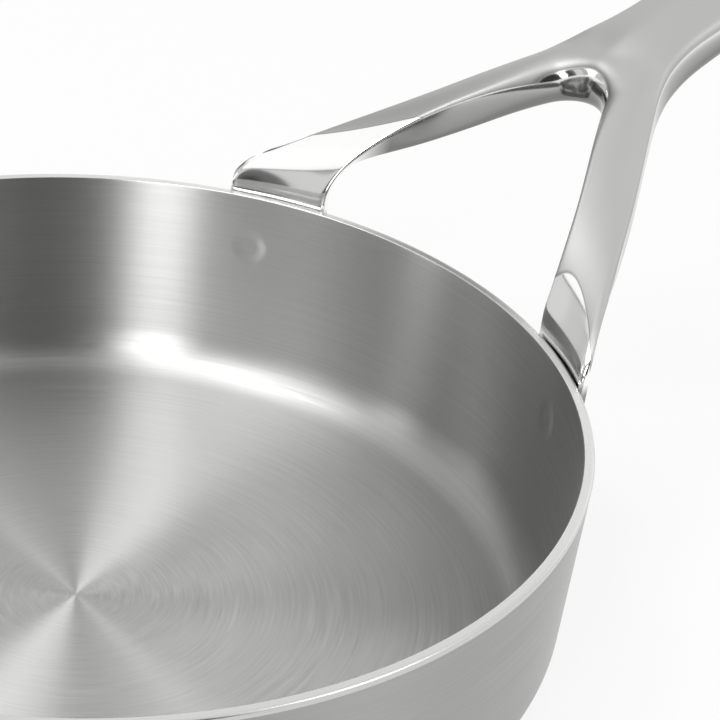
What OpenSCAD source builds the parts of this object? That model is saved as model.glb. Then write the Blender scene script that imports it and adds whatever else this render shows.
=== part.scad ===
/* [Pan] */
// Outer diameter at the rim
rim_d = 240; // [220:1:260]
// Height from the base to the top of the rim
pan_h = 55; // [50:1:65]
// Lean of the wall from upright, in degrees
wall_lean = 5; // [3:0.5:7]
// Inside radius of the corner between floor and wall
corner_r = 11; // [8:0.5:14]

/* [Five-layer sheet] */
// Thickness of the cooking layer of brushed steel
cook_t = 0.4; // [0.3:0.05:0.6]
// Thickness of each alloy bonding layer
bond_t = 0.3; // [0.2:0.05:0.4]
// Thickness of the pure aluminium core
core_t = 1.1; // [0.9:0.05:1.5]
// Thickness of the magnetic steel outer layer
outer_t = 0.5; // [0.4:0.05:0.7]

/* [Rim] */
// Height of the weld that seals the layers at the rim
seal_h = 1.6; // [1.2:0.1:2.4]
// Radius of the rounded outer edge of the rim
rim_round = 0.8; // [0.4:0.1:1.1]

/* [Feet] */
// Angle of each foot from the handle's axis, in degrees
foot_angle = 25.4; // [24:0.1:27]
// Width of a foot along the rim
foot_w = 27.6; // [26:0.2:30]
// Thickness of a foot plate
foot_t = 2.9; // [2.4:0.1:3.4]
// How far a foot reaches down the wall below the rim
foot_drop = 24; // [21:1:28]
// Radius of the lower corners of a foot
foot_corner = 7; // [5:0.5:9]
// Gap between a foot and the wall, filled only by the weld
weld_gap = 0.6; // [0.4:0.1:0.9]
// Clearance that the weld keeps from the foot, whose curved face is made of narrow flats
weld_seat = 0.06; // [0.05:0.01:0.1]
// Diameter of the spot weld
weld_d = 11; // [8:0.5:13]
// Depth of the spot weld's centre below the rim
weld_drop = 14; // [12:0.5:15]
// How far the spot weld lies outward from the middle of its foot, in degrees
weld_turn = 2.6; // [0:0.1:3]

/* [Fork] */
// Angle between a leg and the handle's axis, in degrees
leg_splay = 34.3; // [33:0.1:35.5]
// Width of a leg
leg_w = 13.9; // [12.5:0.1:15.5]
// Outward offset of a leg's middle line from the middle of its foot
leg_shift = 3.3; // [2:0.1:4]
// Rise of the legs where they would cross the feet, in degrees
leg_rise = 28.5; // [25:0.5:31]
// Height above the rim where the top of a leg would cross the foot
knee_h = 8.2; // [7:0.1:9]
// Depth of a leg where it would cross the foot
leg_t = 7.1; // [6:0.1:8]
// Length over which a foot bends into its leg
knee_run = 43.5; // [40:0.5:47]
// How far a leg's outer top edge lies below its inner one
leg_roll = 2; // [1:0.1:3]
// Radius of the notch between the legs
notch_r = 10.8; // [10:0.1:12]
// Radius of the hollow where a leg meets the stem
web_r = 50; // [40:1:60]

/* [Stem] */
// Depth of the stem
stem_t = 12.6; // [11.5:0.1:13.5]
// Width of the stem at its narrowest
stem_w = 26; // [23:0.5:28]
// Width of the stem near its end
grip_w = 31; // [29:0.5:34]
// Distance from the pan's axis to the handle's end
reach = 322; // [300:1:345]
// Radius of the long bend along the legs and the stem
bend_r = 550; // [450:10:700]
// Diameter of the hanging hole
hang_d = 10; // [8:0.5:12]
// Distance from the hanging hole's centre to the handle's end
hang_in = 14; // [12:0.5:16]

/* [Edges] */
// Radius of the edges along the legs
leg_edge = 1.3; // [0.9:0.1:1.6]
// Radius of the top edge at the bottom of the notch
notch_edge = 3.2; // [2.4:0.1:4]
// Radius of the edges along the stem
stem_edge = 4.2; // [3:0.1:4.8]
// Swell of the top face across a leg
leg_crown = 0.7; // [0.3:0.1:1]
// Swell of the top face across the stem
stem_crown = 1.4; // [0.8:0.1:2]
// Half width over which the two legs' top faces blend
blend_w = 8; // [6:0.5:10]

/* [Hidden] */
// Facet count of the round faces
$fn = 96;
// Steps along a rounded corner of the sheet
corner_steps = 10;
// How far a cutter passes the face that it cuts
over = 1;

// Turn that keeps the start of the hole's circle off the mirror plane
seam_turn = 40;

// Thickness of the whole sheet
sheet_t = cook_t + core_t + outer_t + 2 * bond_t;
rim_r = rim_d / 2;
// Radius of the cooking face at the top of the rim
mouth_r = rim_r - sheet_t / cos(wall_lean);
// Centre of the rounded corner, shared by every layer
bend_z = sheet_t + corner_r;
bend_x = mouth_r - (pan_h - bend_z) * tan(wall_lean) - corner_r / cos(wall_lean);

// Radius of the wall at height z, at depth e into the sheet from the cooking face
function wall_x(e, z) = mouth_r + e / cos(wall_lean) - (pan_h - z) * tan(wall_lean);

// Section line of the face at depth e, from the axis out and up to height top
function face_line(e, top) = concat(
    [[0, sheet_t - e]],
    [for (i = [0 : corner_steps])
        let (a = -90 + i * (90 - wall_lean) / corner_steps)
        [bend_x + (corner_r + e) * cos(a), bend_z + (corner_r + e) * sin(a)]],
    [[wall_x(e, top), top]]
);

function reversed(list) = [for (i = [len(list) - 1 : -1 : 0]) list[i]];

// One layer of the sheet, between depths e and e + t
module layer(e, t) {
    top = pan_h - seal_h;
    rotate_extrude()
        polygon(concat(face_line(e + t, top), reversed(face_line(e, top))));
}

module cooking_layer() {
    color("gainsboro")
        layer(0, cook_t);
}

module upper_bond_layer() {
    color("darkgray")
        layer(cook_t, bond_t);
}

module aluminium_core() {
    color("lightsteelblue")
        layer(cook_t + bond_t, core_t);
}

module lower_bond_layer() {
    color("darkgray")
        layer(cook_t + bond_t + core_t, bond_t);
}

module outer_layer() {
    color("silver")
        layer(sheet_t - outer_t, outer_t);
}

// Ring of weld metal that closes the layers, ground flat with a rounded outer edge
module rim_seal() {
    base = pan_h - seal_h;
    outer = wall_x(sheet_t, pan_h);
    color("whitesmoke")
        rotate_extrude()
            polygon(concat(
                [[mouth_r, pan_h], [wall_x(0, base), base], [wall_x(sheet_t, base), base],
                    [wall_x(sheet_t, pan_h - rim_round), pan_h - rim_round]],
                [for (a = [30 : 30 : 90])
                    [outer - rim_round + rim_round * cos(a), pan_h - rim_round + rim_round * sin(a)]]
            ));
}

// Fork: the legs' lines seen from above
foot_r = rim_r + weld_gap;
foot_half = foot_w / foot_r * 90 / PI;
across = [sin(leg_splay), cos(leg_splay)];
along = [cos(leg_splay), -sin(leg_splay)];
foot_s = foot_r * cos(leg_splay + foot_angle);
leg_n = foot_r * sin(leg_splay + foot_angle) + leg_shift;
inner_n = leg_n - leg_w / 2;
outer_n = leg_n + leg_w / 2;
notch_x = (inner_n - notch_r) / sin(leg_splay);
tip_x = notch_x + notch_r;
tangent_s = notch_x * cos(leg_splay);
knee_s = foot_s + knee_run;

// Where the outer line of a leg leaves for the hollow, and where the hollow ends
web_x = (outer_n - stem_w / 2 * cos(leg_splay)) / sin(leg_splay);
web_run = web_r * tan(leg_splay / 2);
web_start = web_x - web_run * cos(leg_splay);
web_end = web_x + web_run;

// Half width of the handle at distance x, past the notch
end_r = grip_w / 2;
function swell(t) = t * t * (3 - 2 * t);
function half_w(x) =
    x < web_start ? (outer_n - x * sin(leg_splay)) / cos(leg_splay)
    : x < web_end ? stem_w / 2 + web_r - sqrt(pow(web_r, 2) - pow(web_end - x, 2))
    : mixed(stem_w / 2, end_r, swell(min(1, (x - web_end) / (reach - end_r - web_end))));

function mixed(a, b, t) = a + (b - a) * t;
function unit(v) = v / norm(v);

// Heights above the base: distance along the legs, with the ridge on the axis smoothed
function run_of(p) = p.x * cos(leg_splay) - sin(leg_splay) * norm([p.y, blend_w]);
tip_run = run_of([tip_x, 0]);
bend_end = foot_s + bend_r * sin(leg_rise);
function slope_at(run) = asin((bend_end - min(run, bend_end)) / bend_r);
function lift(run) = bend_r * (cos(slope_at(run)) - cos(leg_rise));
function top_z(p) = pan_h + knee_h + lift(run_of(p));
function depth(p) = min(stem_t, leg_t + (stem_t - leg_t) * (run_of(p) - foot_s) / (tip_run - foot_s));

function leg_point(s, n) = [s * along.x + n * across.x, s * along.y + n * across.y];
function at_top(p) = [p.x, p.y, top_z(p)];
function at_base(p) = [p.x, p.y, top_z(p) - depth(p)];

// Points of one ring
round_steps = 4;
face_steps = 4;
function fillet(corner, side, down, r, flip) = [for (i = [0 : round_steps])
    let (a = 90 * (flip ? round_steps - i : i) / round_steps)
    corner + side * r * (1 - cos(a)) + down * r * (1 - sin(a))];
function face(a, b, bulge) = [for (i = [1 : face_steps - 1])
    let (t = i / face_steps) mixed(a, b, t) + bulge * 4 * t * (1 - t)];

// A ring through four corners: inner top, outer top, outer base and inner base. It runs over the
// top, down the outer side and back underneath.
function ring(it, ot, ob, ib, side_i, side_o, edge_i, edge_o, bulge, under) = let (
    down_i = unit(ib - it), down_o = unit(ob - ot)
) concat(
    fillet(it, side_i, down_i, edge_i, false),
    face(it + side_i * edge_i, ot + side_o * edge_o, bulge),
    fillet(ot, side_o, down_o, edge_o, true),
    fillet(ob, side_o, -down_o, edge_o, false),
    face(ob + side_o * edge_o, ib + side_i * edge_i, under),
    fillet(ib, side_i, -down_i, edge_i, true)
);
ring_n = 4 * (round_steps + 1) + 2 * (face_steps - 1);

// Rings of the foot plate, which follows the lean and the curve of the wall
function polar(r, a, z) = [r * cos(a), r * sin(a), z];
function foot_face_r(z) = wall_x(sheet_t, min(z, pan_h)) + weld_gap;
function foot_ring(z, half) = let (
    r = foot_face_r(z), a = foot_angle - half, b = foot_angle + half,
    it = polar(r, a, z), ot = polar(r, b, z),
    ob = polar(r + foot_t, b, z), ib = polar(r + foot_t, a, z),
    sag = polar(r * (1 - cos(half)), foot_angle, 0)
) ring(it, ot, ob, ib, unit(ot - it), unit(it - ot), leg_edge, leg_edge, sag, sag);
foot_base = pan_h - foot_drop;
function corner_half(t) = foot_half * (1 - foot_corner / foot_w * 2 * (1 - sin(90 * t)));
foot_shares = [0, 0.15, 0.35, 0.6, 0.8, 1];
foot_top = pan_h + leg_edge;
foot_rings = concat(
    [for (t = foot_shares) foot_ring(foot_base + foot_corner * (1 - cos(90 * t)), corner_half(t))],
    [foot_ring(pan_h - foot_corner, foot_half), foot_ring(foot_top, foot_half)]
);

// Rings of the bend: each edge is a smooth curve from upright on the foot to the leg's own slope
function curve(a, b, c, d, t) =
    a * pow(1 - t, 3) + b * 3 * t * pow(1 - t, 2) + c * 3 * t * t * (1 - t) + d * pow(t, 3);
up = [0, 0, 1];
function knee_edge(from, to, rise_share, slope, t) = curve(from, from + up * knee_run * rise_share,
    to - unit([along.x, along.y, tan(slope)]) * knee_run * knee_along_share, to, t);
knee_slope = slope_at(knee_s);
under_slope = atan(tan(knee_slope) - (stem_t - leg_t) / (tip_run - foot_s));
// Shares of the bend's length that its two ends reach along each edge
knee_rise_share = 0.2;
knee_under_share = 0.3;
knee_along_share = 0.5;
function knee_ring(t) = let (
    r = foot_face_r(foot_top), a = foot_angle - foot_half, b = foot_angle + foot_half,
    pi = leg_point(knee_s, inner_n), po = leg_point(knee_s, outer_n),
    it = knee_edge(polar(r, a, foot_top), at_top(pi), knee_rise_share, knee_slope, t),
    ot = knee_edge(polar(r, b, foot_top), at_top(po) - up * leg_roll, knee_rise_share, knee_slope, t),
    ob = knee_edge(polar(r + foot_t, b, foot_top), at_base(po), knee_under_share, under_slope, t),
    ib = knee_edge(polar(r + foot_t, a, foot_top), at_base(pi), knee_under_share, under_slope, t),
    sag = polar(r * (1 - cos(foot_half)), foot_angle, 0) * (1 - t),
    bulge = sag + up * leg_crown * t
) ring(it, ot, ob, ib, unit(ot - it), unit(it - ot), leg_edge, leg_edge, bulge, sag);
knee_steps = 12;
knee_rings = [for (i = [1 : knee_steps - 1]) knee_ring(i / knee_steps)];

// A ring between two points of the plan. The top's inner corner is raised, its outer one lowered by
// roll, and the face between them swells by bulge.
function plan_ring(pi, po, side_i, side_o, edge_i, edge_o, raise, bulge, roll) = ring(
    at_top(pi) + up * raise, at_top(po) - up * roll, at_base(po), at_base(pi),
    [side_i.x, side_i.y, 0], [side_o.x, side_o.y, 0], edge_i, edge_o, up * bulge, [0, 0, 0]
);

// Rings of a leg, square to it
leg_steps = 6;
leg_rings = [for (i = [0 : leg_steps - 1]) let (
    t = i / leg_steps, s = mixed(knee_s, tangent_s, t)
) plan_ring(leg_point(s, inner_n), leg_point(s, outer_n), across, -across,
    mixed(leg_edge, notch_edge, pow(t, 2)), leg_edge, 0, leg_crown, leg_roll)];

// Bow that makes a dome of the slope between the middle of the stem's top and its edge
dome_share = 0.25;
dome_bow = stem_crown * dome_share;

// Outward slope of the handle's side at distance x
step_share = 0.01;
step = end_r * step_share;
function side_dir(x) = unit([half_w(x + step) - half_w(x), -step]);

// How far the outer edges have grown towards the stem's at the notch, and where they are full
tip_edge_share = 0.5;
full_edge_share = 0.33;

// Rings round the notch: the inner end follows the notch, the outer end the side
notch_steps = 8;
first_outer = leg_point(tangent_s, outer_n).x;
tip_outer = web_x;
notch_rings = [for (i = [0 : notch_steps]) let (
    t = i / notch_steps, a = (90 - leg_splay) * (1 - t),
    x = mixed(first_outer, tip_outer, t),
    pi = [notch_x + notch_r * cos(a), i == notch_steps ? 0 : notch_r * sin(a)]
) plan_ring(pi, [x, half_w(x)], [cos(a), i == notch_steps ? 0 : sin(a)], side_dir(x),
    notch_edge, mixed(leg_edge, stem_edge, t * tip_edge_share),
    stem_crown * t, mixed(leg_crown, dome_bow, t), leg_roll * (1 - t))];

// Rings of the stem, from the notch to the rounded end
stem_shares = [0.05, 0.11, 0.18, 0.26, 0.35, 0.45, 0.56, 0.67, 0.78, 0.89, 1];
end_x = reach - end_r;
function stem_ring(pi, po, side, edge, inward) = plan_ring(pi, po, [0, 0], side, 0, edge,
    stem_crown * (1 - pow(inward, 2)), dome_bow * pow(1 - inward, 2), 0);
stem_rings = [for (t = stem_shares) let (
    x = mixed(tip_x, end_x, t),
    skew = (tip_outer - tip_x) * pow(1 - t, 3),
    edge = mixed(leg_edge, stem_edge, mixed(tip_edge_share, 1, min(1, t / full_edge_share)))
) stem_ring([x, 0], [x + skew, half_w(x + skew)], side_dir(x + skew), edge, 0)];
end_shares = [0.15, 0.3, 0.45, 0.6, 0.75, 0.88, 1];
// Where the middle of the last ring lies between the end's centre and its tip
end_middle_share = 0.5;
end_rings = [for (t = end_shares) let (
    a = 90 * (1 - t), c = [cos(a), t == 1 ? 0 : sin(a)]
) stem_ring([end_x + t * end_middle_share * end_r, 0], [end_x, 0] + c * end_r, -c, stem_edge,
    t * end_middle_share)];

rings = concat(foot_rings, knee_rings, leg_rings, notch_rings, stem_rings, end_rings);
tip_ring = len(foot_rings) + len(knee_rings) + len(leg_rings) + len(notch_rings) - 1;
last_ring = len(rings) - 1;

// The two inner fillets lie on the mirror plane in the stem
function on_inner_side(k) = k <= round_steps || k >= ring_n - round_steps - 1;
function shared(i, k) = i == last_ring || (i >= tip_ring && on_inner_side(k));
half_count = len(rings) * ring_n;
function spot(i, k, other) = i * ring_n + k % ring_n + (other && !shared(i, k % ring_n) ? half_count : 0);

module fork_and_stem() {
    near = [for (r = rings) for (p = r) p];
    far = [for (p = near) [p.x, -p.y, p.z]];
    skin = [for (i = [0 : last_ring - 1]) for (k = [0 : ring_n - 1])
        if (!(i >= tip_ring && on_inner_side(k) && on_inner_side((k + 1) % ring_n))) [i, k]];
    polyhedron(
        points = concat(near, far),
        faces = concat(
            [for (q = skin) for (f = halves(q, false)) f],
            [for (q = skin) for (f = halves(q, true)) reversed(f)],
            foot_cap(),
            [for (f = foot_cap()) reversed([for (k = f) k + half_count])]
        )
    );
}

// The two triangles of one patch between neighbouring rings
function halves(q, other) = let (
    a = spot(q[0], q[1], other), b = spot(q[0], q[1] + 1, other),
    c = spot(q[0] + 1, q[1] + 1, other), d = spot(q[0] + 1, q[1], other)
) q[1] < ring_n / 2 ? concat(triangle(a, b, d), triangle(b, c, d))
    : concat(triangle(a, b, c), triangle(a, c, d));
function triangle(a, b, c) = a == b || b == c || a == c ? [] : [[a, b, c]];

// Ladder of triangles that closes the bottom of a foot
function foot_cap() = [for (k = [0 : ring_n / 2 - 2]) let (m = ring_n - 1 - k)
    for (f = [[k, m, m - 1], [k, m - 1, k + 1]]) f];

module handle_casting() {
    hang_x = reach - hang_in;
    color("lightgray")
        difference() {
            fork_and_stem();
            translate([hang_x, 0, top_z([hang_x, 0]) - stem_t - stem_crown - over])
                rotate([0, 0, seam_turn])
                    cylinder(d = hang_d, h = stem_t + 2 * stem_crown + 2 * over);
        }
}

// One spot weld, in the gap between the wall and a foot
module weld_nugget(side) {
    z = pan_h - weld_drop;
    low = z - weld_d;
    high = z + weld_d;
    color("darkgray")
        intersection() {
            rotate([0, 0, side * (foot_angle + weld_turn)])
                translate([0, 0, z])
                    rotate([0, 90, 0])
                        cylinder(d = weld_d, h = rim_d);
            rotate_extrude()
                polygon([[wall_x(sheet_t, low), low], [foot_face_r(low) - weld_seat, low],
                    [foot_face_r(high) - weld_seat, high], [wall_x(sheet_t, high), high]]);
        }
}

module left_weld_nugget() {
    weld_nugget(1);
}

module right_weld_nugget() {
    weld_nugget(-1);
}

cooking_layer();
upper_bond_layer();
aluminium_core();
lower_bond_layer();
outer_layer();
rim_seal();
handle_casting();
left_weld_nugget();
right_weld_nugget();
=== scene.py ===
"""Looks of a frying pan of layered sheet with a forked handle welded to its wall."""

import logging
import math
from collections.abc import Callable
from dataclasses import dataclass, field
from enum import Enum

import bmesh
import bpy
from mathutils import Matrix, Vector


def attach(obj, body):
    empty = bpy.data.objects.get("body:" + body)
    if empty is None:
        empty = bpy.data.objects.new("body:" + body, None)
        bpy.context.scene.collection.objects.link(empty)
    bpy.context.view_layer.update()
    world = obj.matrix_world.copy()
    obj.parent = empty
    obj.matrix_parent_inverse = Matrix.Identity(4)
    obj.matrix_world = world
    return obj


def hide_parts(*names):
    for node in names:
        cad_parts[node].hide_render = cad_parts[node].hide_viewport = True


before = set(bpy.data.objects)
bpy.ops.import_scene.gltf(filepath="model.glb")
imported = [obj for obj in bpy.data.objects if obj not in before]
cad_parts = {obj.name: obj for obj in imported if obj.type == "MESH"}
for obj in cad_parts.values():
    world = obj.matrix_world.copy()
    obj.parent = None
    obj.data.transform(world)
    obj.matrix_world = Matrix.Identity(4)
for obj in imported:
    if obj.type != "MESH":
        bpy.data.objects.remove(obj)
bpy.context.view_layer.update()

log = logging.getLogger("frying_pan")
MM = 0.001
# Points closer than this, in millimetres, become one
MERGE_MM = 0.001
# Anisotropic rotation that spreads light across the brushed lines and not along them
ACROSS_LINES = 0.25
UP = Vector((0, 0, 1))
WHITE = (1, 1, 1, 1)
# Radius and height of each corner of a section
Outline = list[tuple[float, float]]
# Points round the handle
Ring = list[Vector]
# Adds nodes that measure something at a place and gives their last socket
Measure = Callable[[bpy.types.NodeTree, bpy.types.NodeSocket], bpy.types.NodeSocket]


class Slot(Enum):
    """Material slot names of the record for the visible pieces' finishes; nothing in the script
    uses them.
    """

    COOKING = "brushed_cooking_steel"
    OUTSIDE = "satin_magnetic_steel"
    WELD = "ground_weld_steel"
    CASTING = "cast_steel"


def mixed(a: float, b: float, share: float) -> float:
    """The value at a share of the way from a to b."""
    return a + (b - a) * share


def eased(share: float) -> float:
    """A share from 0 to 1 that starts and ends gently."""
    share = max(0.0, min(1.0, share))
    return share * share * (3 - 2 * share)


def linear(colour: str) -> tuple[float, float, float, float]:
    """Turn an sRGB hex colour into linear light.

    Args:
        colour: Six hex digits after a hash.

    Returns:
        Red, green, blue and an alpha of 1.
    """
    shares = [int(colour[i : i + 2], 16) / 255 for i in (1, 3, 5)]
    light = [s / 12.92 if s <= 0.04045 else ((s + 0.055) / 1.055) ** 2.4 for s in shares]
    return (*light, 1.0)


def add_node(tree: bpy.types.NodeTree, kind: str, settings: dict | None = None,
             inputs: dict | None = None) -> bpy.types.Node:
    """Add one node with its settings and its inputs.

    Args:
        tree: The node tree it goes into.
        kind: The node's type without the ShaderNode prefix.
        settings: Attribute names and their values.
        inputs: Socket names or numbers, each with a value or with the socket that feeds it.

    Returns:
        The new node.
    """
    node = tree.nodes.new("ShaderNode" + kind)
    for name, value in (settings or {}).items():
        setattr(node, name, value)
    for key, value in (inputs or {}).items():
        socket = node.inputs[key]
        if isinstance(value, bpy.types.NodeSocket):
            tree.links.new(value, socket)
        else:
            socket.default_value = value
    return node


def new_material(name: str) -> tuple[bpy.types.Material, bpy.types.NodeTree]:
    """Start a material with an empty node tree.

    Args:
        name: The material's name.

    Returns:
        The material and its tree.
    """
    material = bpy.data.materials.new(name)
    material.use_nodes = True
    material.node_tree.nodes.clear()
    return material, material.node_tree


def finished_mesh(name: str, mesh: bmesh.types.BMesh, sharp_from: float = 180) -> bpy.types.Object:
    """Scale a millimetre mesh to metres and make it a smooth object at the origin.

    Args:
        name: The piece's name.
        mesh: The finished shape, which is used up.
        sharp_from: Angle between two faces, in degrees, from which their edge stays sharp.

    Returns:
        The new object.
    """
    bmesh.ops.scale(mesh, vec=(MM, MM, MM), verts=mesh.verts)
    bmesh.ops.recalc_face_normals(mesh, faces=mesh.faces)
    for face in mesh.faces:
        face.smooth = True
    for edge in mesh.edges:
        edge.smooth = edge.calc_face_angle(0) < math.radians(sharp_from)
    data = bpy.data.meshes.new(name)
    mesh.to_mesh(data)
    mesh.free()
    piece = bpy.data.objects.new(name, data)
    bpy.context.scene.collection.objects.link(piece)
    return piece


def placed(piece: bpy.types.Object, node: str) -> None:
    """Let a piece ride on the pan and stand for its CAD node.

    Args:
        piece: The finished piece.
        node: The CAD node that it replaces.
    """
    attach(piece, "root")
    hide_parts(node)
    log.info("%s: %d faces", piece.name, len(piece.data.polygons))


@dataclass(frozen=True)
class BrushedSteel:
    """Stainless sheet that was brushed in circles on a lathe.

    The lines run round the pan, so light spreads across them: a flat floor shows bright fans and
    an upright wall shows bright upright bands. The real lines lie about 0.1 mm apart and a pixel
    of the render covers about 0.25 mm, so line_mm is as coarse as a line needs to show.
    """

    name: str
    colour: str = "#c6c6c5"
    line_colour: str = "#adadac"
    roughness: float = 0.36
    anisotropy: float = 0.97
    line_mm: float = 0.55
    depth_mm: float = 0.004
    # Radius of a line's circle through the noise, small enough for some 14 long streaks in it
    streak_r: float = 2.2
    streak_detail: float = 4
    streak_roughness: float = 0.65
    noise_span: tuple[float, float] = (0.3, 0.7)
    # The dark of a line scatters light more than the bright beside it
    rough_shares: tuple[float, float] = (1.15, 0.88)
    weld_marks: tuple[Vector, ...] = ()
    mark_r_mm: float = 5.5
    mark_rise_mm: float = 0.32
    mark_flat_share: float = 0.3

    def material(self) -> bpy.types.Material:
        """Build the brushed metal, with the raised marks that the spot welds leave.

        Returns:
            The material.
        """
        material, tree = new_material(self.name)
        place = add_node(tree, "TexCoord").outputs["Object"]
        flat = add_node(tree, "VectorMath", {"operation": "MULTIPLY"}, {0: place, 1: (1, 1, 0)})
        round_way = add_node(tree, "VectorMath", {"operation": "NORMALIZE"}, {0: flat.outputs[0]})
        radius = add_node(tree, "VectorMath", {"operation": "LENGTH"}, {0: flat.outputs[0]})
        parts = add_node(tree, "SeparateXYZ", {}, {0: place})
        # Radius and height together count the lines, so they go on from the floor up the wall
        along = add_node(tree, "Math", {"operation": "ADD"},
                         {0: radius.outputs["Value"], 1: parts.outputs[2]})
        lines = add_node(tree, "Math", {"operation": "MULTIPLY"},
                         {0: along.outputs[0], 1: 1 / (self.line_mm * MM)})
        lift = add_node(tree, "CombineXYZ", {}, {2: lines.outputs[0]})
        where = add_node(tree, "VectorMath", {"operation": "MULTIPLY_ADD"},
                         {0: round_way.outputs[0], 1: (self.streak_r, self.streak_r, 0),
                          2: lift.outputs[0]})
        grain = add_node(tree, "TexNoise", {"noise_dimensions": "3D"},
                         {"Vector": where.outputs[0], "Scale": 1.0, "Detail": self.streak_detail,
                          "Roughness": self.streak_roughness})
        tone = add_node(tree, "Mix", {"data_type": "RGBA"},
                        {"Factor": grain.outputs["Fac"], "A": linear(self.line_colour),
                         "B": linear(self.colour)})
        dark_share, bright_share = self.rough_shares
        rough = add_node(tree, "MapRange", {},
                         {0: grain.outputs["Fac"], 1: self.noise_span[0], 2: self.noise_span[1],
                          3: self.roughness * dark_share, 4: self.roughness * bright_share})
        height = add_node(tree, "Math", {"operation": "MULTIPLY"},
                          {0: grain.outputs["Fac"], 1: self.depth_mm * MM}).outputs[0]
        for mark in self.weld_marks:
            away = add_node(tree, "VectorMath", {"operation": "DISTANCE"},
                            {0: place, 1: tuple(mark * MM)})
            rise = add_node(tree, "MapRange", {"interpolation_type": "SMOOTHSTEP"},
                            {0: away.outputs["Value"],
                             1: self.mark_r_mm * MM * self.mark_flat_share,
                             2: self.mark_r_mm * MM, 3: self.mark_rise_mm * MM, 4: 0.0})
            height = add_node(tree, "Math", {"operation": "ADD"},
                              {0: height, 1: rise.outputs[0]}).outputs[0]
        bump = add_node(tree, "Bump", {}, {"Strength": 1.0, "Distance": 1.0, "Height": height})
        lay = add_node(tree, "VectorMath", {"operation": "CROSS_PRODUCT"}, {0: UP, 1: place})
        metal = add_node(tree, "BsdfPrincipled", {},
                         {"Base Color": tone.outputs["Result"], "Metallic": 1.0,
                          "Roughness": rough.outputs[0], "Anisotropic": self.anisotropy,
                          "Anisotropic Rotation": ACROSS_LINES, "Tangent": lay.outputs[0],
                          "Normal": bump.outputs[0]})
        add_node(tree, "OutputMaterial", {}, {"Surface": metal.outputs[0]})
        return material


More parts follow.
